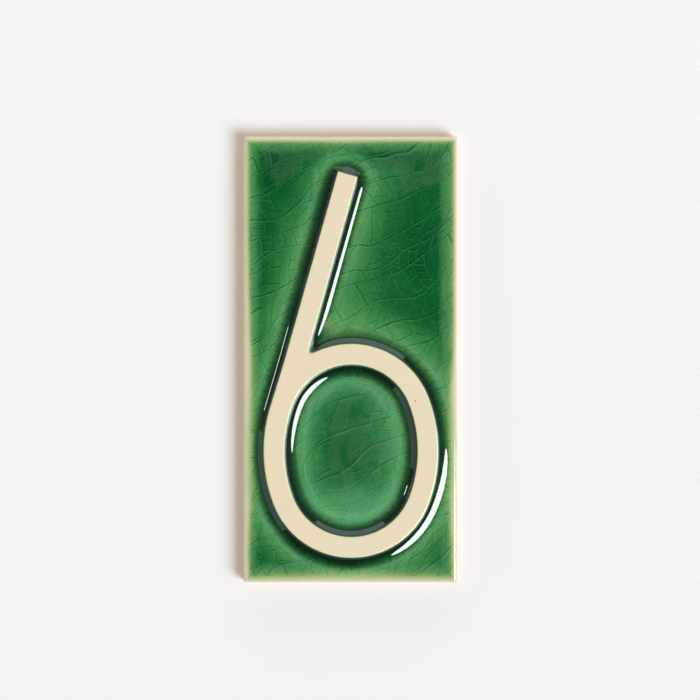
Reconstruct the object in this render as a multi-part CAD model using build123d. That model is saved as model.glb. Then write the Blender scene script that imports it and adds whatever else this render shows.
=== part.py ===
from build123d import *
from math import atan2, cos, hypot, radians, sin, tan
import os

# House number plaque: one pressed stoneware tile with a raised figure six, glazed in one firing.
# The back face lies on the wall plane (X right, Z up) and the front looks along -Y.
# The origin is the centre of the back face. All sizes are in millimetres.

# Tile blank
tile_width = 98.5
tile_height = 205.5
body_thickness = 8.0  # back face to the level of the glazed field
corner_radius = 1.2  # corners of the tile, seen from the front
rim_radius = 1.6  # rolled front edge, where the glaze runs thin
back_chamfer = 0.5  # arris of the back face, fettled before firing

# Figure six: one stroke of even width, a leaning stem that runs into an oval bowl
stroke = 9.65
side_margin = 9.1  # tile's side edges to the outside of the bowl, before the shift below
head_margin = 16.0  # tile's top edge to the highest corner of the stem
foot_margin = 11.6  # tile's bottom edge to the lowest point of the bowl
bowl_shift = 0.2  # bowl set to the right of the tile's centre line
bowl_height = 98.4  # over the outside of the stroke
bowl_end_easing = 2.05  # how much tighter the bowl's top and bottom arcs are than half its width
stem_lean = 15.8  # degrees from upright

# Relief of the figure above the field
relief = 3.0  # field to the figure's bare face
wall_draft = 46.0  # degrees from square, as the glaze leaves the figure's wall
cove_radius = 6.0  # glaze drawn up into the corner between field and wall
figure_root = 2.0  # how far the figure's block runs down into the tile

# Keying grooves that hold the adhesive on the back
key_width = 6.0
key_depth = 1.0
key_pitch = 13.5
key_margin = 9.0  # least plain border kept round the grooves

level_margin = 0.01  # faces nearer than this in depth count as level
wall_plane = Plane.XZ
crown_plane = wall_plane.offset(body_thickness + relief)
into_tile = Vector(0, 1, 0)

bowl_half_width = tile_width / 2 - side_margin
bowl_half_height = bowl_height / 2
bowl_end_radius = bowl_half_width - bowl_end_easing
bowl_centre_z = foot_margin + bowl_half_height - tile_height / 2
bowl_place = Location((bowl_shift, bowl_centre_z))


def arc_centres(half_width, half_height, end_radius):
    """How far the side arcs' and the end arcs' centres lie from the middle of a four-centre oval."""
    reach = half_width**2 + half_height**2 - 2 * half_height * end_radius
    side_radius = reach / (2 * (half_width - end_radius))
    return side_radius - half_width, half_height - end_radius


def oval(half_width, half_height, end_radius):
    """Upright four-centre oval: end arcs above and below run tangent into longer side arcs."""
    side_centre, end_centre = arc_centres(half_width, half_height, end_radius)
    span = hypot(side_centre, end_centre)
    joint_x = end_radius * side_centre / span
    joint_z = end_centre + end_radius * end_centre / span
    arcs = [
        ThreePointArc((-joint_x, joint_z), (0, half_height), (joint_x, joint_z)),
        ThreePointArc((joint_x, joint_z), (half_width, 0), (joint_x, -joint_z)),
        ThreePointArc((joint_x, -joint_z), (0, -half_height), (-joint_x, -joint_z)),
        ThreePointArc((-joint_x, -joint_z), (-half_width, 0), (-joint_x, joint_z)),
    ]
    return make_face(arcs)


def stem():
    """Straight stem, cut off square, whose left edge leaves the bowl's outside on a tangent."""
    lean = radians(stem_lean)
    along = Vector(sin(lean), cos(lean))
    across = Vector(cos(lean), -sin(lean))
    side_centre, end_centre = arc_centres(bowl_half_width, bowl_half_height, bowl_end_radius)
    if lean < atan2(end_centre, side_centre):
        root = Vector(side_centre, 0) - across * (side_centre + bowl_half_width)
    else:
        root = Vector(0, end_centre) - across * bowl_end_radius
    rise = tile_height / 2 - head_margin - bowl_centre_z - root.Y
    tip = root + along * (rise / cos(lean))
    return make_face(Polyline(root, tip, tip + across * stroke, root + across * stroke, close=True))


def face_at(solid, depth):
    """The largest flat face of a solid at that distance in front of the wall."""
    flats = solid.faces().filter_by(Axis.Y)
    level = flats.filter_by_position(Axis.Y, -depth - level_margin, -depth + level_margin)
    return level.sort_by(SortBy.AREA)[-1]


def drafted(outline, depth, angle):
    """An outline on the figure's face carried down into the tile, its walls leaning out by an angle."""
    block = extrude(crown_plane * (bowl_place * outline), depth, dir=into_tile)
    walls = block.faces() - block.faces().filter_by(Axis.Y)
    return draft(walls, crown_plane, angle)


def cove():
    """The cove's radius, kept small enough to leave a strip of plain wall above it."""
    wall_length = relief / cos(radians(wall_draft))
    return min(cove_radius, 0.8 * wall_length * tan(radians(45 + wall_draft / 2)))


def tile_blank():
    """The plain tile, with its back arris eased and its front edge still square."""
    outline = RectangleRounded(tile_width, tile_height, corner_radius)
    blank = extrude(wall_plane * outline, body_thickness)
    return chamfer(face_at(blank, 0).outer_wire().edges(), back_chamfer)


def raise_figure(tile):
    """The tile with the outside of the figure raised on it, coved at the foot."""
    outside = oval(bowl_half_width, bowl_half_height, bowl_end_radius) + stem()
    raised = tile + drafted(outside, relief + figure_root, wall_draft)
    foot = face_at(raised, body_thickness).inner_wires()[0]
    return fillet(foot.edges(), cove())


def cut_counter(tile):
    """The tile with the oval inside the bowl cut down to the field, coved like the outside."""
    inside = oval(bowl_half_width - stroke, bowl_half_height - stroke, bowl_end_radius - stroke)
    core = drafted(inside, relief, -wall_draft)
    floor = face_at(core, body_thickness)
    return tile - fillet(floor.edges(), cove())


def roll_rim(tile):
    """The tile with its front edge rolled over."""
    return fillet(face_at(tile, body_thickness).outer_wire().edges(), rim_radius)


def key_back(tile):
    """The tile with level grooves in its back; an even count leaves the middle of the back plain."""
    pairs = int((tile_height - 2 * key_margin + key_pitch - key_width) / (2 * key_pitch))
    groove = SlotOverall(tile_width - 2 * key_margin, key_width)
    grooves = Sketch() + [place * groove for place in GridLocations(1, key_pitch, 1, 2 * pairs)]
    return tile - extrude(wall_plane * grooves, key_depth)


number_tile = key_back(roll_rim(cut_counter(raise_figure(tile_blank()))))

os.makedirs("parts", exist_ok=True)
export_step(number_tile, "parts/number_tile.step")
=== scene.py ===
from math import cos, pi, radians, sin, tan
import bpy
import numpy as np
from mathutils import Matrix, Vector
from mathutils.geometry import delaunay_2d_cdt


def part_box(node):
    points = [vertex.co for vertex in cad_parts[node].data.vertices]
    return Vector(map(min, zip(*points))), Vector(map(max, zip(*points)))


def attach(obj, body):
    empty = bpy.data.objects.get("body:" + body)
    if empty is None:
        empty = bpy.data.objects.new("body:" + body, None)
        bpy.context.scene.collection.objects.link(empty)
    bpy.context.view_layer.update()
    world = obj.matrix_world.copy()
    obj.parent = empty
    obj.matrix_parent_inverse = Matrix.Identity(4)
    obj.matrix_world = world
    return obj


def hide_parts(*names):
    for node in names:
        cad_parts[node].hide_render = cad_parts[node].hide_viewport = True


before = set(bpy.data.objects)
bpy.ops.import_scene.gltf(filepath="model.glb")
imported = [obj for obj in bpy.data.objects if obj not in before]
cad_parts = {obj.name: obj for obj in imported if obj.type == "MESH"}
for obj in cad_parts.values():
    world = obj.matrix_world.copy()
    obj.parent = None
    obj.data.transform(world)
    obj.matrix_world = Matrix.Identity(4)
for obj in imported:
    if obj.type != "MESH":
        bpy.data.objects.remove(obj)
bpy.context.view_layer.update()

# The tile: one slab of pale stoneware, pressed in a mould with the figure six standing proud of its
# front. The front edge is rolled over, the back is scored to hold adhesive, and it hangs flat on a wall.
mm = 0.001
tile_low, tile_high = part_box("number_tile")
half_width = tile_high[0]
half_height = tile_high[2]
crown = -tile_low[1]  # the figure's bare face, above the back
relief = 3.0 * mm  # the figure's face above the field
corner_radius = 1.2 * mm
back_chamfer = 0.5 * mm

# The figure: a stroke of even width, an oval bowl with a leaning stem that leaves it on a tangent. It is
# pressed from the same clay as the slab, and its face is wiped clean of glaze before the firing.
stroke = 9.65 * mm
side_margin = 9.1 * mm
head_margin = 16.0 * mm
foot_margin = 11.6 * mm
end_easing = 2.05 * mm  # how much tighter the bowl's end arcs are than half its width
bowl_x = 0.2 * mm
bowl_half_width = half_width - side_margin
bowl_half_height = 49.2 * mm
bowl_z = foot_margin + bowl_half_height - half_height
bowl = np.array([bowl_half_width, bowl_half_height, bowl_half_width - end_easing])
counter = bowl - stroke
lean = radians(15.8)
stem_top = half_height - head_margin
stem_set = 0.3 * mm  # how far the stem stands in from its tangent
set_run = 25 * mm  # the length over which it comes in
crotch_web = 3.0 * mm  # glaze caught in the corner between stem and bowl
web_growth = 0.45  # how much wider the web grows away from the corner


def arc_centres(sizes):
    """How far the side arcs' and the end arcs' centres lie from the middle of a four-centre oval, whose
    side radius is the one at which the arcs meet on a tangent."""
    wide, tall, end_radius = sizes
    side_radius = (wide**2 + tall**2 - 2 * tall * end_radius) / (2 * (wide - end_radius))
    return side_radius - wide, tall - end_radius


def oval_ring(sizes, count):
    """Points round a four-centre oval: each arc's centre plus its radius along an evenly turning
    normal."""
    side_centre, end_centre = arc_centres(sizes)
    turn = 2 * pi * (np.arange(count) + 0.5) / count
    beside = np.abs(np.sin(turn)) * side_centre < end_centre * np.abs(np.cos(turn))
    radius = np.where(beside, side_centre + sizes[0], sizes[2])
    x = np.where(beside, -side_centre * np.sign(np.cos(turn)), 0) + radius * np.cos(turn)
    z = np.where(beside, 0, end_centre * np.sign(np.sin(turn))) + radius * np.sin(turn)
    return bowl_x + x, bowl_z + z


def oval_distance(x, z, sizes):
    """Distance outside a four-centre oval, from the side arc in its sector and from the end arc
    elsewhere."""
    side_centre, end_centre = arc_centres(sizes)
    x = np.abs(x - bowl_x)
    z = np.abs(z - bowl_z)
    beside = z * side_centre < end_centre * (x + side_centre)
    to_side = np.hypot(x + side_centre, z) - side_centre - sizes[0]
    return np.where(beside, to_side, np.hypot(x, z - end_centre) - sizes[2])


def in_counter(x, z):
    """Whether a point lies inside the middle line of the bowl's stroke."""
    return oval_distance(x, z, counter + stroke / 2) < 0


side_centre, _ = arc_centres(bowl)
stem_root_x = bowl_x + side_centre - (side_centre + bowl[0]) * cos(lean)
stem_root_z = bowl_z + (side_centre + bowl[0]) * sin(lean)
stem_length = (stem_top - stem_root_z) / cos(lean)


def box_distance(beside, beyond):
    """Distance outside a square corner, from how far a point lies beside it and beyond it."""
    outside = np.hypot(np.maximum(beside, 0), np.maximum(beyond, 0))
    return outside + np.minimum(np.maximum(beside, beyond), 0)


def stem_place(x, z):
    """How far up the stem from its root a point lies, and how far across from its left edge."""
    along = (x - stem_root_x) * sin(lean) + (z - stem_root_z) * cos(lean)
    across = (x - stem_root_x) * cos(lean) - (z - stem_root_z) * sin(lean)
    return along, across - stem_set * np.clip(along / set_run, 0, 1)


def figure_distance(x, z, web_share=1.0):
    """Distance from the figure's edge, positive on the glaze and negative on the bare stroke: outside,
    the lesser of bowl and stem distance, blended where both are near, and in the counter its depth."""
    outside = oval_distance(x, z, bowl)
    along, across = stem_place(x, z)
    beside = np.abs(across - stroke / 2) - stroke / 2
    stem = box_distance(beside, np.maximum(along - stem_length, -along))
    web = crotch_web + web_growth * np.maximum(outside + stem, 0)
    blend = np.where(across > stroke / 2, np.maximum(1 - np.abs(outside - stem) / web, 0), 0)
    nearest = np.minimum(outside, stem) - web_share * blend**2 * web / 4
    return np.maximum(nearest, -oval_distance(x, z, counter))


tip_round = 4.6 * mm  # how the glaze rounds off the stem's two square corners
tip_fade = 2.3 * mm  # the distance over which that rounding comes in


def glaze_distance(x, z):
    """Distance from the figure as the melted glaze feels it: away from the edge, the stem's square end
    counts as a round one."""
    edge = figure_distance(x, z)
    along, across = stem_place(x, z)
    beside = np.abs(across - stroke / 2) - stroke / 2
    beyond = along - stem_length
    rounder = box_distance(beside + tip_round, beyond + tip_round) - tip_round
    rounder = rounder - box_distance(beside, beyond)
    return edge + np.where(along > stem_length / 2, rounder, 0) * np.clip(edge / tip_fade, 0, 1)


def figure_slope(x, z):
    """Which way the distance from the figure grows, as a unit vector, from a step to either side."""
    step = 0.05 * mm
    slope_x = glaze_distance(x + step, z) - glaze_distance(x - step, z)
    slope_z = glaze_distance(x, z + step) - glaze_distance(x, z - step)
    size = np.maximum(np.hypot(slope_x, slope_z), 0.001 * step)
    return slope_x / size, slope_z / size


def border_distance(x, z):
    """Distance in from the tile's outline, a rectangle with rounded corners."""
    over_x = np.abs(x) - half_width + corner_radius
    over_z = np.abs(z) - half_height + corner_radius
    rounded = np.hypot(np.maximum(over_x, 0), np.maximum(over_z, 0))
    return corner_radius - rounded - np.minimum(np.maximum(over_x, over_z), 0)


# The front's relief: the wall leaves the figure on a straight batter, the glaze drawn up against it dies
# away into the field, and the field droops a little towards the rolled rim.
run_heights = np.array([-60, 30]) * mm  # the glaze has run, so it lies otherwise near the foot
wall_slopes = np.tan(np.radians([44, 39]))  # fall of the wall at those two heights
fade_lengths = np.array([2.0, 1.85]) * mm  # how slowly the glaze dies away there
counter_slope = tan(radians(37))  # the pooled glaze climbs further up the counter's wall
counter_fade = 1.9 * mm
tip_fill = 0.5  # the glaze stands fuller against the middle of the stem's end
tip_ramp = 2.0 * mm  # the distance past the end over which that comes in
arris_ease = 0.7 * mm
droop_reach = 10.0 * mm
droop_drop = 0.55 * mm
roll_radius = 1.5 * mm


def front_height(x, z):
    """Height of the front above the back: the field, plus the wall's straight line that turns into an
    exponential fall, eased over at the figure's edge, minus the droop's parabola and the rim's arc."""
    reach = glaze_distance(x, z)
    border = border_distance(x, z)
    pooled = in_counter(x, z)
    slope = np.where(pooled, counter_slope, np.interp(z, run_heights, wall_slopes))
    fade = np.where(pooled, counter_fade, np.interp(z, run_heights, fade_lengths))
    along, across = stem_place(x, z)
    past_tip = np.clip((along - stem_length) / tip_ramp, 0, 1)
    over_tip = past_tip * np.clip(1 - (2 * across / stroke - 1)**2, 0, 1)
    fade = fade * (1 - tip_fill * over_tip)
    wall_end = relief / slope - fade
    straight = relief - reach * slope
    dying = slope * fade * np.exp((wall_end - reach) / fade)
    wall = np.where(reach < wall_end, straight, dying)
    ease = np.maximum(1 - np.abs(wall - relief) / arris_ease, 0)
    raised = np.minimum(wall, relief) - ease**2 * arris_ease / 4
    droop = droop_drop * np.clip(1 - border / droop_reach, 0, 1)**2
    into_rim = np.clip(roll_radius - border, 0, roll_radius)
    rim = roll_radius - np.sqrt(roll_radius**2 - into_rim**2)
    return crown - relief + raised - (droop + rim) * (reach > 0)


# The points of the front net: rings that follow the figure's edge, close together where the wall bends,
# rings that follow the tile's border, and an even lattice over the rest of the field.
ring_offsets = [-4.4, -2.6, -1.2, -0.55, -0.4, -0.25, -0.1, 0.05, 0.2, 0.35, 0.5, 0.8, 1.15, 1.5, 1.9,
                2.3, 2.7, 3.1, 3.5, 3.9, 4.3, 4.6, 4.9, 5.3, 6.0, 7.0]
border_insets = [2.0, 2.5, 3.1, 3.7, 4.4, 5.2, 6.2, 7.4]
bowl_count = 720
counter_count = 560
stem_count = 220
tip_count = 24
border_count = 700
outline_count = 900
ring_pitch = 0.16 * mm  # least spacing of points along the figure's rings
lattice_pitch = 1.3
rim_clear = 0.3 * mm  # the figure's rings keep this far from the rim's roll
ring_clear = 4.0 * mm  # the border's rings keep this far from the figure
figure_clear = 7.6 * mm  # the lattice keeps this far from the figure
border_clear = 8.2 * mm  # and this far from the border


def stem_ring(offset):
    """Points round the stem at that offset: its two long sides, its end and a quarter turn at each
    corner."""
    inset = min(offset, 0)
    corner = max(offset, 0)
    along = np.linspace(0, stem_length + inset, stem_count)
    cross = np.linspace(-inset, stroke + inset, tip_count)
    turn = np.linspace(0, pi / 2, 2 + int(corner / (0.25 * mm)))
    up = [along, along, np.full_like(cross, stem_length + offset)]
    up += [stem_length + inset + corner * np.sin(turn)] * 2
    over = [np.full_like(along, -offset), np.full_like(along, stroke + offset), cross]
    over += [-inset - corner * np.cos(turn), stroke + inset + corner * np.cos(turn)]
    up = np.concatenate(up)
    over = np.concatenate(over)
    x = stem_root_x + up * sin(lean) + over * cos(lean)
    z = stem_root_z + up * cos(lean) - over * sin(lean)
    return x, z


def drawn_to_contour(x, z, offset):
    """Points near a contour of the figure's distance, slid down its slope until they lie on it."""
    step = 0.001 * mm
    caught = 0.6 * mm
    slack = 0.02 * mm
    near = np.abs(figure_distance(x, z) - offset) < caught
    x = x[near]
    z = z[near]
    for _ in range(4):
        gap = figure_distance(x, z) - offset
        slope_x = (figure_distance(x + step, z) - figure_distance(x - step, z)) / (2 * step)
        slope_z = (figure_distance(x, z + step) - figure_distance(x, z - step)) / (2 * step)
        steep = np.maximum(slope_x**2 + slope_z**2, 0.2)
        x = x - gap * slope_x / steep
        z = z - gap * slope_z / steep
    level = np.abs(figure_distance(x, z) - offset) < slack
    return np.column_stack([x[level], z[level]])


def tile_ring(inset, count):
    """Even stations round the tile's outline at that inset: quarter turns at the corners, straight
    between."""
    radius = max(corner_radius - inset, 0)
    turns = 64
    turn = 2 * pi * (np.arange(turns) + 0.5) / turns
    x = np.sign(np.cos(turn)) * (half_width - inset - radius) + radius * np.cos(turn)
    z = np.sign(np.sin(turn)) * (half_height - inset - radius) + radius * np.sin(turn)
    x = np.append(x, x[0])
    z = np.append(z, z[0])
    run = np.concatenate([[0], np.cumsum(np.hypot(np.diff(x), np.diff(z)))])
    station = np.linspace(0, run[-1], count, endpoint=False)
    return np.column_stack([np.interp(station, run, x), np.interp(station, run, z)])


def thinned(points, spacing):
    """One point out of each square of that size."""
    _, first = np.unique(np.round(points / spacing), axis=0, return_index=True)
    return points[np.sort(first)]


def netted(plan):
    """Triangles of a flat set of points inside their first ring, none with a point inside its circle."""
    boundary = list(range(outline_count))
    inside_only = 1
    weld = 1e-9
    points, _, triangles, _, _, _ = delaunay_2d_cdt(plan, [], [boundary], inside_only, weld)
    return np.array([point[:] for point in points]), np.array(triangles)


figure_net = []
for offset in ring_offsets:
    ring = offset * mm
    outside = oval_ring(bowl + ring, bowl_count)
    inside = oval_ring(counter - ring, counter_count)
    figure_net += [drawn_to_contour(x, z, ring) for x, z in [outside, inside, stem_ring(ring)]]
figure_net = np.concatenate(figure_net)
clear_of_rim = border_distance(*figure_net.T) > roll_radius + rim_clear
figure_net = thinned(figure_net[clear_of_rim], ring_pitch)
border_net = np.concatenate([tile_ring(inset * mm, border_count) for inset in border_insets])
border_net = border_net[figure_distance(*border_net.T) > ring_clear]
columns, rows = np.meshgrid(np.arange(-48, 48, lattice_pitch), np.arange(-102, 102, lattice_pitch))
lattice = np.column_stack([columns.ravel(), rows.ravel()]) * mm
lattice = lattice[figure_distance(*lattice.T) > figure_clear]
lattice = lattice[border_distance(*lattice.T) > border_clear]
front_plan = np.concatenate([tile_ring(roll_radius, outline_count), figure_net, border_net, lattice])
front_plan, front_faces = netted(front_plan)
front = np.column_stack([front_plan[:, 0], -front_height(*front_plan.T), front_plan[:, 1]])

# The edge: the rim's roll, the plain side and the back's eased arris, as one profile carried round the
# slab. The glaze runs thin over the roll and stops where the side begins.
roll_turns = np.radians(np.linspace(80, 0, 10))  # from the front net round to the side
roll_insets = roll_radius * (1 - np.cos(roll_turns))
roll = []
for inset in roll_insets:
    plan = tile_ring(inset, outline_count)
    roll.append(np.column_stack([plan[:, 0], -front_height(*plan.T), plan[:, 1]]))
side_plan = tile_ring(0, outline_count)
side = np.column_stack([side_plan[:, 0], np.full(outline_count, -back_chamfer), side_plan[:, 1]])
edge = np.concatenate(roll + [side])

# The back: bare clay with level grooves, pressed a millimetre deep and round at both ends. They key the
# adhesive, and the lands between them lie on the wall.
groove_depth = 1.0 * mm
groove_half_width = 3.0 * mm
groove_margin = 9.0 * mm
groove_half_run = half_width - groove_margin - groove_half_width
groove_rows = (np.arange(14) - 6.5) * 13.5 * mm  # fourteen of them, even about the middle
groove_wall = 0.25 * mm


def groove_ring(inset):
    """Points round every groove at that inset: two straight sides and two half turns, in each row."""
    turns = 48
    turn = 2 * pi * (np.arange(turns) + 0.5) / turns
    sides = np.linspace(-groove_half_run, groove_half_run, 40)
    radius = groove_half_width - inset
    ends = np.sign(np.cos(turn)) * groove_half_run + radius * np.cos(turn)
    x = np.concatenate([ends, sides, sides])
    level = np.full_like(sides, radius)
    z = np.concatenate([radius * np.sin(turn), level, -level])
    in_rows = z[None, :] + groove_rows[:, None]
    return np.column_stack([np.broadcast_to(x, in_rows.shape).ravel(), in_rows.ravel()])


def groove_floor(x, z):
    """Depth of the back below the wall plane: none on the lands, and full past the groove's wall."""
    row = np.min(np.abs(z[:, None] - groove_rows[None, :]), axis=1)
    inside = groove_half_width - np.hypot(np.maximum(np.abs(x) - groove_half_run, 0), row)
    return groove_depth * np.clip(inside / groove_wall, 0, 1)


groove_pitch = 0.05 * mm  # least spacing of points along the grooves
grooves = thinned(np.concatenate([groove_ring(0), groove_ring(groove_wall)]), groove_pitch)
back_plan, back_faces = netted(np.concatenate([tile_ring(back_chamfer, outline_count), grooves]))
back = np.column_stack([back_plan[:, 0], -groove_floor(*back_plan.T), back_plan[:, 1]])

# The skin: front net, edge strips and back net, sewn ring to ring into one closed mesh that takes the
# place of the plain solid.
crease = radians(40)
points = np.concatenate([front, edge, back])
stations = np.arange(outline_count)
rings = [stations]
rings += [len(front) + outline_count * step + stations for step in range(len(roll) + 1)]
rings += [len(front) + len(edge) + stations]
strips = []
for outer, inner in zip(rings[1:], rings[:-1]):
    strips.append(np.column_stack([inner, outer, np.roll(outer, -1), np.roll(inner, -1)]))
faces = front_faces.tolist() + np.concatenate(strips).tolist()
faces += (back_faces[:, ::-1] + len(front) + len(edge)).tolist()
tile_mesh = bpy.data.meshes.new("number_tile_skin")
tile_mesh.from_pydata(points.tolist(), [], faces)
tile_mesh.polygons.foreach_set("use_smooth", np.ones(len(faces), bool))
tile_mesh.set_sharp_from_angle(angle=crease)
number_tile = bpy.data.objects.new("glazed_number_tile", tile_mesh)
bpy.context.collection.objects.link(number_tile)
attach(number_tile, "root")
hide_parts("number_tile")

# Where the glaze lies and how deep: none on the figure's face, a thin skin over every edge, black-green
# against the figure's wall, thin just beyond the wall and pooled in the open field, with painted shade
# where the dark glaze is drawn further over the figure's edges that face left, away from the lamp.
figure_steps = np.array([3.0, 4.4, 5.5, 7.4, 10.1, 13.8, 16.6, 20.7, 27.6]) * mm
figure_depths = [3.2, 3.0, 2.6, 2.2, 2.5, 3.05, 3.5, 4.25, 5.0]
border_steps = np.array([0.2, 0.7, 1.15, 1.6, 2.05, 2.5, 3.0, 3.45, 3.9, 5.5, 6.9, 7.8, 8.7, 11.0]) * mm
border_depths = [0, 0.16, 0.38, 0.65, 1.0, 1.38, 1.78, 2.1, 2.35, 2.9, 3.3, 3.8, 4.4, 5.2]
wall_steps = np.array([0.05, 0.5, 2.2, 2.55, 3.15, 3.75, 4.6]) * mm
wall_depths = [0, 5.5, 5.2, 3.9, 2.2, 1.0, 0]  # what the wall adds
wall_foot = 2.4 * mm
wall_tail = 1.25  # how far the dark foot of the wall is drawn out beside the figure
tail_run = 0.2  # more of it below the figure, and less above
tail_cut = 0.4  # still less straight above the figure
crotch_clear = 1.5  # how far the dark foot draws back out of the web
lip_steps = np.array([-0.25, -0.05, 0.1]) * mm
lip_shares = [0, 0.45, 1]
left_edge_shade = 0.25 * mm  # painted shade: dark glaze drawn further over edges facing left, on stem and counter
lip_run = 20 * mm
counter_edge_shade = 0.6  # the share of that painted shade in the counter
counter_more = 0.35  # the glaze lies deeper in the counter

# How fast the glaze deepens in from each edge, past the strip that it leaves bare.
right_rate = 1.07
right_bare = 0.08 * mm
left_rate = 1.12
left_bare = 0.6 * mm
top_rate = 1.25
top_bare = 1.1 * mm
foot_rate = 0.74
foot_bare = -0.1 * mm
figure_pull = 0.7  # the figure draws glaze off a border that is near it
pull_reach = 12 * mm

# Thin runs along the side edges: height of the middle, reach and loss, in millimetres.
left_runs = [(-100, 12, 0.55), (1, 34, 1.2), (-67, 12, 0.55)]
right_runs = [(-100, 12, 0.55), (-15, 14, 1.0), (-74, 14, 1.0), (-42, 14, 0.25)]

# Pools and thin places: middle across and up, half width and half height in millimetres, and depth.
pools = [(-42, 40, 13, 60, 0.35), (-38, 8, 5, 30, 0.7), (-32, 85, 14, 12, 0.7), (2, 92, 17, 7, 3.0),
         (-20, 74, 6, 20, 1.2), (7, 33, 7, 8, 0.7), (31, 36, 13, 28, 0.35), (-7.6, 15.6, 4.5, 4, -4.0),
         (2, -63, 14, 11, -1.3), (12, -32, 9, 9, -1.1), (-40, -92, 9, 9, 1.2), (-27, -88, 9, 7, 1.5),
         (-2, -95, 14, 6, 2.5), (35, -88, 8, 9, 0.5)]
pool_from = 1.5  # a pool shows only in glaze deeper than this
pool_full = 4.5  # and fully from here on


def thin_run(z, runs):
    """What the glaze loses along an edge: the sum of one bell curve for each run."""
    return sum(loss * mm * np.exp(-((z / mm - middle) / reach)**2) for middle, reach, loss in runs)


def soft_spot(x, z, middle_x, middle_z, wide, tall):
    """A soft oval spot, one at its middle, that falls away as a bell curve."""
    return np.exp(-((x / mm - middle_x) / wide)**2 - ((z / mm - middle_z) / tall)**2)


def glaze_depth(x, z):
    """Depth of colour: the lesser of what the figure and the border leave, deeper down the figure's wall
    and in the pools, drawn off at the lip, with painted shade where the dark glaze is drawn further over
    edges that face left. It deepens fastest in from the top, slowest from the foot."""
    reach = glaze_distance(x, z)
    pooled = in_counter(x, z)
    from_right = right_rate * (half_width - x) - right_bare - thin_run(z, right_runs)
    from_left = left_rate * (half_width + x) - left_bare - thin_run(z, left_runs)
    from_top = top_rate * (half_height - z) - top_bare
    from_foot = foot_rate * (half_height + z) - foot_bare
    border = np.minimum.reduce([from_right, from_left, from_top, from_foot])
    border = border / (1 + figure_pull * np.exp(-(reach / pull_reach)**2))
    beyond_wall = np.interp(reach, figure_steps, figure_depths) + counter_more * pooled
    depth = np.minimum(beyond_wall, np.interp(border, border_steps, border_depths))

    away_x, away_z = figure_slope(x, z)
    up_stem = np.clip((z - bowl_z) / lip_run - 1, 0, 1)
    # painted shade: on edges that face left, away from the lamp, the dark wall and the lip come closer
    # to the bare face
    painted_edge_shade = left_edge_shade * np.maximum(-away_x, 0) * np.where(pooled, counter_edge_shade, up_stem)
    tail = wall_tail - tail_run * away_z - tail_cut * np.maximum(away_z, 0)**2 * ~pooled
    in_crotch = figure_distance(x, z, web_share=0.0) - figure_distance(x, z)
    past_foot = np.maximum(reach + crotch_clear * in_crotch - wall_foot, 0) / tail
    down_wall = np.minimum(reach + painted_edge_shade, wall_foot) + past_foot
    depth = depth + np.interp(down_wall, wall_steps, wall_depths)
    for pool_x, pool_z, wide, tall, more in pools:
        shown = np.clip((depth - pool_from) / (pool_full - pool_from), 0, 1)
        depth = depth + more * soft_spot(x, z, pool_x, pool_z, wide, tall) * shown
    return depth * np.interp(figure_distance(x, z) + painted_edge_shade, lip_steps, lip_shares)


even_milk = 0.03
ring_milk = 0.12
ring_reach = 8  # the ring's distance from the figure, in millimetres
ring_spread = 4
patch_milk = 0.2
patch_place = (2, -67, 17, 9)  # middle across and up, half width and half height
crotch_milk = 0.35
crotch_place = (-7.2, 15.6, 3.4, 3.4)


def milkiness(x, z):
    """Cloudiness of the glaze: in the counter an even part, a ring beyond the wall and a soft patch near
    the foot, and outside it one soft spot in the crotch."""
    reach = glaze_distance(x, z) / mm
    ring = np.exp(-((reach - ring_reach) / ring_spread)**2)
    patch = soft_spot(x, z, *patch_place)
    cloudy = even_milk + ring_milk * ring + patch_milk * patch
    beyond_wall = np.clip((reach - 4.5) / 2, 0, 1)
    corner = soft_spot(x, z, *crotch_place) * np.clip(reach - 2, 0, 1)
    return np.where(in_counter(x, z), cloudy, 0) * beyond_wall + crotch_milk * corner


plan_x = points[:, 0]
plan_z = points[:, 2]
glazed = np.arange(len(points)) < len(front) + outline_count * len(roll)
from_edge = glaze_distance(plan_x, plan_z)
away_x, away_z = figure_slope(plan_x, plan_z)
surface = {
    "glaze_depth": np.where(glazed, glaze_depth(plan_x, plan_z), 0),
    "milk": milkiness(plan_x, plan_z),
    "from_figure": from_edge / mm,
    "edge_x": (plan_x - away_x * from_edge) / mm,  # the nearest point of the figure's edge
    "edge_z": (plan_z - away_z * from_edge) / mm,
}
for name, values in surface.items():
    layer = tile_mesh.attributes.new(name, "FLOAT", "POINT")
    layer.data.foreach_set("value", values.astype(np.float32))

glaze_finish = 0
bare_finish = 1
trimmed_finish = 2
wipe_inset = 0.5 * mm  # the bare clay starts this far in from the figure's edge
face_middle = front_plan[front_faces].mean(axis=1)
wiped = figure_distance(*face_middle.T) < -wipe_inset
rolled = len(front_faces) + outline_count * len(roll)
finish = np.full(len(faces), bare_finish, np.int32)
finish[:len(front_faces)] = np.where(wiped, bare_finish, glaze_finish)
finish[len(front_faces):rolled] = glaze_finish
finish[rolled:rolled + outline_count] = trimmed_finish
tile_mesh.polygons.foreach_set("material_index", finish)

# Grain of the fired clay, which the bare clay and the thin glaze both show: a cloudy tone, a fine tooth
# and a few dark specks of iron that were in the clay from the start.
cloud_tone = 0.07
tooth_tone = 0.09
speck_rarity = 0.55  # the share of cells with no speck
speck_reach = 0.13
speck_edge = 0.04


def linear(red, green, blue):
    """A colour as it is seen, 0 to 255, as the linear light that a shader takes."""
    seen = np.array([red, green, blue]) / 255
    light = np.where(seen < 0.04045, seen / 12.92, ((seen + 0.055) / 1.055)**2.4)
    return (*light, 1.0)


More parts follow.
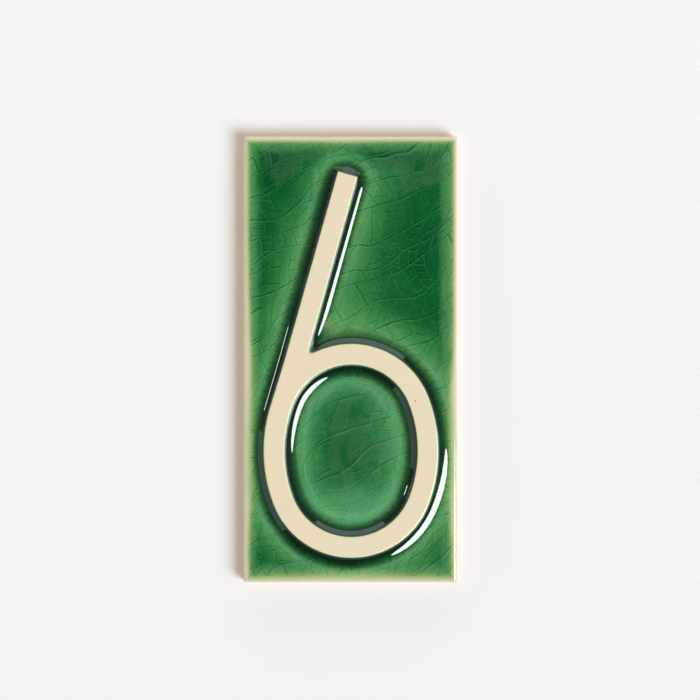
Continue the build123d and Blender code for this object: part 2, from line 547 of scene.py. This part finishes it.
def add(tree, kind, inputs=None, **settings):
    """A new shader node with its settings; each input takes a value or the output that feeds it."""
    node = tree.nodes.new("ShaderNode" + kind)
    for name, value in settings.items():
        setattr(node, name, value)
    for name, value in (inputs or {}).items():
        if isinstance(value, bpy.types.NodeSocket):
            tree.links.new(value, node.inputs[name])
        else:
            node.inputs[name].default_value = value
    return node


def calc(tree, operation, first, second=0.0, third=0.0):
    """The output of one sum on values."""
    return add(tree, "Math", {0: first, 1: second, 2: third}, operation=operation).outputs[0]


def vector(tree, operation, first, second=(0, 0, 0)):
    """The output of one sum on vectors."""
    return add(tree, "VectorMath", {0: first, 1: second}, operation=operation).outputs[0]


def between(tree, value, low, high, start=0.0, end=1.0):
    """A smooth step from start to end, as a value goes from low to high."""
    inputs = {"Value": value, "From Min": low, "From Max": high, "To Min": start, "To Max": end}
    return add(tree, "MapRange", inputs, interpolation_type="SMOOTHSTEP").outputs["Result"]


def noise(tree, place, scale, detail, roughness=0.5, **settings):
    """A cloudy pattern, with about that many waves to each unit of its place."""
    inputs = {"Vector": place, "Scale": scale, "Detail": detail, "Roughness": roughness}
    return add(tree, "TexNoise", inputs, **settings)


def in_millimetres(tree):
    """Object coordinates in millimetres."""
    return vector(tree, "MULTIPLY", add(tree, "TexCoord").outputs["Object"], (1000, 1000, 1000))


def new_group(name, inputs, outputs):
    """An empty node group with named sockets, and the nodes that carry its inputs and outputs."""
    group = bpy.data.node_groups.new(name, "ShaderNodeTree")
    for direction, sockets in [("INPUT", inputs), ("OUTPUT", outputs)]:
        for socket, kind in sockets.items():
            group.interface.new_socket(socket, in_out=direction, socket_type="NodeSocket" + kind)
    return group, group.nodes.new("NodeGroupInput").outputs, group.nodes.new("NodeGroupOutput").inputs


grain_takes = {"Colour": "Color", "Specks": "Float"}
grain_gives = {"Colour": "Color", "Tooth": "Float"}
grain, grain_in, grain_out = new_group("stoneware_grain", grain_takes, grain_gives)
grain_place = in_millimetres(grain)
cloud = noise(grain, grain_place, 0.09, 3.0).outputs["Fac"]
tooth = noise(grain, grain_place, 1.6, 4.0, roughness=0.7).outputs["Fac"]
speck_cells = add(grain, "TexVoronoi", {"Vector": grain_place, "Scale": 0.42})
speck_pick = add(grain, "SeparateColor", {0: speck_cells.outputs["Color"]}).outputs[0]
speck_size = between(grain, speck_pick, speck_rarity, 1.0, 0.0, speck_reach)
inside_speck = calc(grain, "SUBTRACT", speck_size, speck_cells.outputs["Distance"])
speck = calc(grain, "MULTIPLY", between(grain, inside_speck, 0.0, speck_edge), grain_in["Specks"])
tone = calc(grain, "MULTIPLY_ADD", cloud, cloud_tone, 1 - cloud_tone / 2)
tone = calc(grain, "ADD", tone, calc(grain, "MULTIPLY_ADD", tooth, tooth_tone, -tooth_tone / 2))
tone = calc(grain, "MULTIPLY", tone, calc(grain, "SUBTRACT", 1.0, speck))
grain.links.new(vector(grain, "MULTIPLY", grain_in["Colour"], tone), grain_out["Colour"])
grain.links.new(tooth, grain_out["Tooth"])

# Craze lines: the fired glaze shrinks more than the clay and cracks across, and the surface between two
# cracks tips a little its own way.
craze_takes = {"Across": "Float", "Spacing": "Float", "Width": "Float"}
craze_gives = {"Line": "Float", "Own": "Vector"}
craze, craze_in, craze_out = new_group("craze_lines", craze_takes, craze_gives)
often = calc(craze, "DIVIDE", 1.0, craze_in["Spacing"])
strip_place = {"W": craze_in["Across"], "Scale": often, "Randomness": 1.0}
edges = add(craze, "TexVoronoi", strip_place, voronoi_dimensions="1D", feature="DISTANCE_TO_EDGE")
cells = add(craze, "TexVoronoi", strip_place, voronoi_dimensions="1D", feature="F1")
edge_gap = calc(craze, "MULTIPLY", edges.outputs["Distance"], craze_in["Spacing"])
edge_gap = calc(craze, "DIVIDE", edge_gap, craze_in["Width"])
craze.links.new(between(craze, edge_gap, 0.0, 1.0, 1.0, 0.0), craze_out["Line"])
craze.links.new(vector(craze, "SUBTRACT", cells.outputs["Color"], (0.5, 0.5, 0.5)), craze_out["Own"])

# The glaze: a clear copper green, glossy, cream where it thins over an edge and near black where it is
# deep. It is poured on in one coat and melts in the kiln, so its depth alone sets the colour.
cloud_depth = 0.5
mottle_depth = 0.36


def new_material(name):
    """A material with its node tree and its surface shader."""
    material = bpy.data.materials.new(name)
    material.use_nodes = True
    tree = material.node_tree
    return material, tree, tree.nodes["Principled BSDF"]


def stoneware(tree, colour, specks):
    """The grain group placed in a material."""
    return add(tree, "Group", {"Colour": colour, "Specks": specks}, node_tree=grain)


def from_skin(tree, name):
    """What an attribute of the tile's skin says."""
    return add(tree, "Attribute", attribute_name=name).outputs["Fac"]


glaze, tree, shader = new_material("green_glaze")
shader.inputs["IOR"].default_value = 1.55
place = add(tree, "SeparateXYZ", {0: in_millimetres(tree)})
flat = add(tree, "CombineXYZ", {0: place.outputs["X"], 1: place.outputs["Z"]}).outputs[0]
depth = from_skin(tree, "glaze_depth")
from_figure = from_skin(tree, "from_figure")  # in millimetres
dullness = between(tree, from_figure, 0.5, 1.2, 0.45, 0.025)  # dull where the figure is wiped
tree.links.new(dullness, shader.inputs["Roughness"])
cloud = noise(tree, flat, 0.075, 3.0, noise_dimensions="2D").outputs["Fac"]
mottle = noise(tree, flat, 0.55, 3.0, noise_dimensions="2D").outputs["Fac"]
vary = calc(tree, "MULTIPLY_ADD", cloud, cloud_depth, 1 - cloud_depth / 2)
vary = calc(tree, "ADD", vary, calc(tree, "MULTIPLY_ADD", mottle, mottle_depth, -mottle_depth / 2))
depth = calc(tree, "MULTIPLY", depth, vary)

# Streaks in the glaze: fine milky lines drawn out along the figure, in the thin glaze beyond its wall,
# where the melt ran off the raised clay.
along_figure = vector(tree, "MULTIPLY", flat, (0.11, 0.11, 0))
outward = add(tree, "CombineXYZ", {2: from_figure}).outputs[0]
streaks = noise(tree, vector(tree, "ADD", along_figure, outward), 1.3, 3.0).outputs["Fac"]
streaks = between(tree, streaks, 0.28, 0.72, 0.02, 0.28)
ring_start = between(tree, from_figure, 5.0, 7.5)
ring_end = between(tree, from_figure, 7.0, 13.5, 1.0, 0.0)
milk = calc(tree, "MULTIPLY", calc(tree, "MULTIPLY", ring_start, ring_end), streaks)
milk = calc(tree, "ADD", milk, from_skin(tree, "milk"))

# Cracks in the glaze: long first cracks that rise to the right, cross cracks from one to the next, and
# short ones between those. Each is a dark line with a painted highlight beside it: a shifted copy of
# the cracks painted paler where the crack's edge would catch the light.
long_cracks = (10.0, 0.4)  # spacing and width in millimetres
cross_cracks = (6.5, 0.36)
short_cracks = (5.0, 0.32)
cross_slant = (1.5, -0.55)  # spread of the slants and their middle
short_slant = 1.2
crack_rise = radians(30)
sway_reach = (27, 27, 0)
wobble_reach = (0.8, 0.8, 0)
fresh_start = 370  # how widely the strips' own cracks are set off from each other, in millimetres
# painted highlight: how far the paler copy of the cracks is shifted, in millimetres
crack_highlight_shift = (0.35, 0.5, 0)
dark_crack = 2.4
crack_highlight_paint = 0.15
sway = noise(tree, flat, 0.021, 1.3, noise_dimensions="2D").outputs["Color"]
wobble = noise(tree, flat, 0.16, 1.0, noise_dimensions="2D").outputs["Color"]
crack_place = vector(tree, "ADD", flat, vector(tree, "MULTIPLY", sway, sway_reach))
crack_place = vector(tree, "ADD", crack_place, vector(tree, "MULTIPLY", wobble, wobble_reach))
crack_turn = {"Vector": crack_place, "Rotation": (0, 0, crack_rise)}
crack_place = add(tree, "Mapping", crack_turn, vector_type="TEXTURE").outputs[0]


def cracks(across, spacing, width):
    """The craze group placed in the glaze: its lines, and what each strip between two has of its own."""
    inputs = {"Across": across, "Spacing": spacing, "Width": width}
    return add(tree, "Group", inputs, node_tree=craze).outputs


def crack_net(shift):
    """Three generations of cracks, moved by a shift in millimetres: each later one starts afresh in
    every strip of the one before, on its own slant."""
    moved = add(tree, "SeparateXYZ", {0: vector(tree, "ADD", crack_place, shift)}).outputs
    long_net = cracks(moved["Y"], *long_cracks)
    own = add(tree, "SeparateXYZ", {0: long_net["Own"]}).outputs
    slant = calc(tree, "MULTIPLY_ADD", own["X"], *cross_slant)
    cross = calc(tree, "MULTIPLY_ADD", moved["Y"], slant, moved["X"])
    cross_net = cracks(calc(tree, "MULTIPLY_ADD", own["Y"], fresh_start, cross), *cross_cracks)
    own = add(tree, "SeparateXYZ", {0: cross_net["Own"]}).outputs
    slant = calc(tree, "MULTIPLY", own["X"], short_slant)
    short = calc(tree, "MULTIPLY_ADD", moved["X"], slant, moved["Y"])
    short_net = cracks(calc(tree, "MULTIPLY_ADD", own["Y"], fresh_start, short), *short_cracks)
    in_some = between(tree, own["Z"], -0.15, 0.1, 0.0, 0.8)
    short_lines = calc(tree, "MULTIPLY", short_net["Line"], in_some)
    lines = calc(tree, "MAXIMUM", long_net["Line"], cross_net["Line"])
    tips = vector(tree, "ADD", long_net["Own"], cross_net["Own"])
    return calc(tree, "MAXIMUM", lines, short_lines), tips


dark_lines, tips = crack_net((0, 0, 0))
painted_highlight_lines, _ = crack_net(crack_highlight_shift)
patchy = noise(tree, flat, 0.11, 1.0, noise_dimensions="2D").outputs["Fac"]
patchy = between(tree, patchy, 0.3, 0.55, 0.5, 1.0)
crazed = calc(tree, "MULTIPLY", patchy, between(tree, from_figure, 3.5, 5.5))
crazed = calc(tree, "MULTIPLY", crazed, between(tree, depth, 0.5, 2.2))
depth = calc(tree, "MULTIPLY_ADD", calc(tree, "MULTIPLY", dark_lines, crazed), dark_crack, depth)
# painted highlight: the shifted copy of the cracks makes the glaze paler, as milk does
milk = calc(tree, "MULTIPLY_ADD", calc(tree, "MULTIPLY", painted_highlight_lines, crazed), crack_highlight_paint, milk)

# Hair cracks in the glaze: short dark lines square to the figure, at the foot of its wall, where the
# glaze was drawn tight as it cooled.
hair_crack = 1.3
hair_width = 0.045
edge_place = {0: from_skin(tree, "edge_x"), 1: from_skin(tree, "edge_z")}
edge_place = add(tree, "CombineXYZ", edge_place).outputs[0]
hair = noise(tree, edge_place, 0.8, 1.0, noise_dimensions="2D").outputs["Fac"]
hair = calc(tree, "ABSOLUTE", calc(tree, "SUBTRACT", hair, 0.5))
hair = between(tree, hair, 0.0, hair_width, 1.0, 0.0)
hair = calc(tree, "MULTIPLY", hair, between(tree, from_figure, 2.4, 3.2))
hair = calc(tree, "MULTIPLY", hair, between(tree, from_figure, 4.5, 7.5, 1.0, 0.0))
depth = calc(tree, "MULTIPLY_ADD", hair, hair_crack, depth)

# Colour of the glaze: cream where it is a mere skin, then leaf green, bottle green and near black as it
# deepens, browner at the foot of the figure's wall, and paler where it is milky and along the cracks'
# painted highlights.
depth_stops = [(0, 226, 213, 181), (0.2, 210, 208, 165), (0.45, 190, 197, 145), (0.75, 168, 186, 125),
               (1.1, 141, 172, 103), (1.5, 116, 158, 84), (1.9, 97, 149, 75), (2.3, 78, 143, 77),
               (3.1, 53, 128, 67), (4.2, 28, 104, 49), (5.0, 13, 95, 41), (6.0, 4, 84, 38),
               (8.5, 8, 42, 24)]
deepest = 9.0
brown_cast = (1.0, 0.7, 0.66, 1.0)
milk_colour = linear(120, 201, 144)
cell_tip = 0.016  # how far the surface between cracks tips its own way
ramp = add(tree, "ValToRGB", {0: calc(tree, "DIVIDE", depth, deepest)})
stops = ramp.color_ramp.elements
stops[0].color = linear(*depth_stops[0][1:])
stops[1].position = depth_stops[-1][0] / deepest
stops[1].color = linear(*depth_stops[-1][1:])
for step, *colour in depth_stops[1:-1]:
    stops.new(step / deepest).color = linear(*colour)
wall_band = between(tree, from_figure, 4.6, 7.0, 1.0, 0.0)
brown_band = calc(tree, "MULTIPLY", between(tree, depth, 0.8, 3.0), wall_band)
browned = add(tree, "MixRGB", {0: brown_band, 1: ramp.outputs[0], 2: brown_cast}, blend_type="MULTIPLY")
# the milk here also carries the cracks' painted highlights
milky = add(tree, "MixRGB", {0: milk, 1: browned.outputs[0], 2: milk_colour})
tree.links.new(stoneware(tree, milky.outputs[0], 0.5).outputs["Colour"], shader.inputs["Base Color"])
tips = add(tree, "SeparateXYZ", {0: tips}).outputs
tipped = calc(tree, "MULTIPLY", between(tree, from_figure, 6.0, 10.0), cell_tip)
tip_x = calc(tree, "MULTIPLY", tips["X"], tipped)
tip_z = calc(tree, "MULTIPLY", tips["Y"], tipped)
tipped = add(tree, "CombineXYZ", {0: tip_x, 2: tip_z}).outputs[0]
facing = vector(tree, "ADD", add(tree, "NewGeometry").outputs["Normal"], tipped)
tree.links.new(vector(tree, "NORMALIZE", facing), shader.inputs["Normal"])
tile_mesh.materials.append(glaze)

# The bare clay: unglazed stoneware, wiped clean on the figure's face and left as it was pressed on the
# back. One grain of iron has burnt through on the right of the bowl.
iron_place = (29.7, -11.0, -19.1)
bare_clay, tree, shader = new_material("bare_stoneware")
shader.inputs["Roughness"].default_value = 0.8
shader.inputs["Specular IOR Level"].default_value = 0.25
clay = stoneware(tree, linear(236, 219, 186), 0.35)
from_iron = {0: in_millimetres(tree), 1: iron_place}
from_iron = add(tree, "VectorMath", from_iron, operation="DISTANCE").outputs["Value"]
burnt = between(tree, from_iron, 0.2, 0.6, 0.75, 0.0)
spotted = add(tree, "MixRGB", {0: burnt, 1: clay.outputs["Colour"], 2: linear(134, 70, 40)})
tree.links.new(spotted.outputs[0], shader.inputs["Base Color"])
tooth = add(tree, "Bump", {"Height": clay.outputs["Tooth"], "Distance": 0.03 * mm, "Strength": 1.0})
tree.links.new(tooth.outputs[0], shader.inputs["Normal"])
tile_mesh.materials.append(bare_clay)

# The sides: the same clay where a knife has trimmed the pressed slab to size, so it is rougher, and it
# is coloured darker than the face.
trimmed_clay, tree, shader = new_material("trimmed_stoneware")
shader.inputs["Roughness"].default_value = 0.9
shader.inputs["Specular IOR Level"].default_value = 0.2
clay = stoneware(tree, linear(219, 196, 159), 0.5)
tree.links.new(clay.outputs["Colour"], shader.inputs["Base Color"])
tooth = add(tree, "Bump", {"Height": clay.outputs["Tooth"], "Distance": 0.06 * mm, "Strength": 1.0})
tree.links.new(tooth.outputs[0], shader.inputs["Normal"])
tile_mesh.materials.append(trimmed_clay)

# The wall: a smooth pale board that the tile hangs against, seen through from behind and cut away where
# the tile covers it, so that the tile's back can be looked at.
board_reach = 1.5
tile_overlap = 0.3 * mm
hole_width = half_width - tile_overlap
hole_height = half_height - tile_overlap
wall_corners = [(-board_reach, 0, -board_reach), (board_reach, 0, -board_reach),
                (board_reach, 0, board_reach), (-board_reach, 0, board_reach),
                (-hole_width, 0, -hole_height), (hole_width, 0, -hole_height),
                (hole_width, 0, hole_height), (-hole_width, 0, hole_height)]
wall_mesh = bpy.data.meshes.new("pale_board")
wall_mesh.from_pydata(wall_corners, [], [(0, 1, 5, 4), (1, 2, 6, 5), (2, 3, 7, 6), (3, 0, 4, 7)])
wall = bpy.data.objects.new("pale_board", wall_mesh)
bpy.context.collection.objects.link(wall)
board, tree, shader = new_material("pale_board")
shader.inputs["Roughness"].default_value = 0.9
shader.inputs["Specular IOR Level"].default_value = 0.0
shader.inputs["Base Color"].default_value = linear(249, 246, 241)
from_behind = add(tree, "NewGeometry").outputs["Backfacing"]
clear = add(tree, "BsdfTransparent").outputs[0]
seen = add(tree, "MixShader", {0: from_behind, 1: shader.outputs[0], 2: clear})
tree.links.new(seen.outputs[0], tree.nodes["Material Output"].inputs["Surface"])
wall_mesh.materials.append(board)

# The light: an even warm fill from the room, one soft lamp from low on the right, one behind the board
# for the keyed back, and the studio's cards, most of which only the gloss of the glaze sees.
room_fill = (0.318, 0.3, 0.279, 1)
room_gloss = (0.2, 0.205, 0.21, 1)
world = bpy.data.worlds.new("studio")
bpy.context.scene.world = world
world.use_nodes = True
tree = world.node_tree
rays = add(tree, "LightPath").outputs
room = add(tree, "MixRGB", {0: rays["Is Glossy Ray"], 1: room_fill, 2: room_gloss}).outputs[0]
room = add(tree, "MixRGB", {0: rays["Is Camera Ray"], 1: room, 2: linear(248, 245, 240)}).outputs[0]
tree.links.new(room, tree.nodes["Background"].inputs["Color"])


def aimed(turn, off_axis, distance):
    """A point in front of the tile: turned in degrees from the right towards the top, and tipped in
    degrees off the view's axis."""
    turn = radians(turn)
    tipped = radians(off_axis)
    return Vector((sin(tipped) * cos(turn), -cos(tipped), sin(tipped) * sin(turn))) * distance


def hang_lamp(name, place, size, power, tint):
    """A round lamp at a place, turned to face the tile."""
    light = bpy.data.lights.new(name, "AREA")
    light.shape = "DISK"
    light.size = size
    light.energy = power
    light.color = tint
    lamp = bpy.data.objects.new(name, light)
    lamp.location = place
    lamp.rotation_euler = (-lamp.location).to_track_quat("-Z", "Y").to_euler()
    bpy.context.collection.objects.link(lamp)
    return lamp


soft_lamp = hang_lamp("soft_lamp", aimed(-35, 48, 6.0), 3.8, 366.0, (0.83, 0.9, 1.0))
soft_lamp.visible_glossy = False
hang_lamp("back_lamp", (-1.2, 2.4, 1.4), 2.0, 55.0, (1.0, 1.0, 1.0))


def panel(name, points, faces, light, tint=(0.97, 1.0, 0.99, 1), lights_clay=False):
    """A glowing panel that only the gloss of the glaze sees, or one that only lights the clay."""
    mesh = bpy.data.meshes.new(name)
    mesh.from_pydata([point[:] for point in points], [], faces)
    glow = bpy.data.materials.new(name)
    glow.use_nodes = True
    glow.node_tree.nodes.clear()
    shine = add(glow.node_tree, "Emission", {"Color": tint, "Strength": light})
    add(glow.node_tree, "OutputMaterial", {"Surface": shine.outputs[0]})
    mesh.materials.append(glow)
    hung = bpy.data.objects.new(name, mesh)
    bpy.context.collection.objects.link(hung)
    hung.visible_camera = False
    hung.visible_diffuse = lights_clay
    hung.visible_glossy = not lights_clay
    hung.visible_shadow = False
    hung.visible_transmission = False


def round_card(name, turn, off_axis, distance, wide, tall, light):
    """An oval panel that faces the tile's middle, wide round the axis and tall away from it."""
    middle = aimed(turn, off_axis, distance)
    round_axis = Vector((-sin(radians(turn)), 0, cos(radians(turn))))
    outward = round_axis.cross(middle.normalized())
    swing = 2 * pi * np.arange(64) / 64
    rim = [middle + round_axis * (wide / 2 * cos(a)) + outward * (tall / 2 * sin(a)) for a in swing]
    panel(name, rim, [list(range(64))], light)


def bent_card(name, turns, off_axes, distance, light, **finish):
    """A panel bent round the tile, between two turns and two angles off the view's axis."""
    stations = np.linspace(*turns, 25)
    points = [aimed(turn, off_axis, distance) for off_axis in off_axes for turn in stations]
    panel(name, points, [[i, i + 1, i + 26, i + 25] for i in range(24)], light, **finish)


def flat_card(name, left, right, foot, head, distance, light):
    """An upright panel square to the view's axis."""
    corners = [(left, foot), (right, foot), (right, head), (left, head)]
    panel(name, [Vector((x, -distance, z)) for x, z in corners], [[0, 1, 2, 3]], light)


# The cards: turns and tips in degrees, distances and sizes in metres, and last how bright each is.
cool = (0.84, 1.0, 0.99, 1)
warm = (1.0, 0.95, 0.87, 1)
round_card("lamp_face", -35, 44.5, 1.6, 1.24, 1.22, 20.0)
bent_card("top_card", (50, 128), (53, 93), 1.0, 2.0, tint=cool)
bent_card("top_bounce", (50, 130), (70, 89), 1.2, 3.0, tint=warm, lights_clay=True)
bent_card("left_card", (177, 224), (53, 93), 1.0, 1.0, tint=cool)
bent_card("left_bounce", (140, 220), (70, 89), 1.2, 2.1, tint=warm, lights_clay=True)
bent_card("left_slit", (163.9, 168.4), (60, 67), 1.2, 16.0)
bent_card("dark_foot", (-150, -20), (30, 93), 2.2, 0.08)
flat_card("front_haze", -0.68, 0.68, -0.72, 0.72, 2.4, 0.45)
flat_card("dark_middle", -0.165, 0.118, -0.2, 0.222, 1.1, 0.03)
flat_card("front_glimmer", -0.016, 0.03, -0.088, -0.05, 1.09, 0.4)
flat_card("head_glimmer_left", -0.062, -0.022, 0.146, 0.24, 1.09, 0.38)
flat_card("head_glimmer_right", 0.036, 0.118, 0.13, 0.24, 1.09, 0.45)

# The camera: a long lens square to the wall, a little above the tile's middle, and well back, so that
# the tile shows flat.
camera_distance = 1.6
field_level = 8.0 * mm
frame_width = 322.35 * mm  # what the picture takes in at the level of the field
camera_data = bpy.data.cameras.new("camera")
camera_data.sensor_width = 36.0
camera_data.lens = camera_data.sensor_width * camera_distance / frame_width
camera = bpy.data.objects.new("camera", camera_data)
camera.location = (-0.21 * mm, -camera_distance - field_level, 4.37 * mm)
camera.rotation_euler = (pi / 2, 0, 0)
bpy.context.collection.objects.link(camera)
bpy.context.scene.camera = camera
bpy.context.scene.view_settings.view_transform = "Standard"
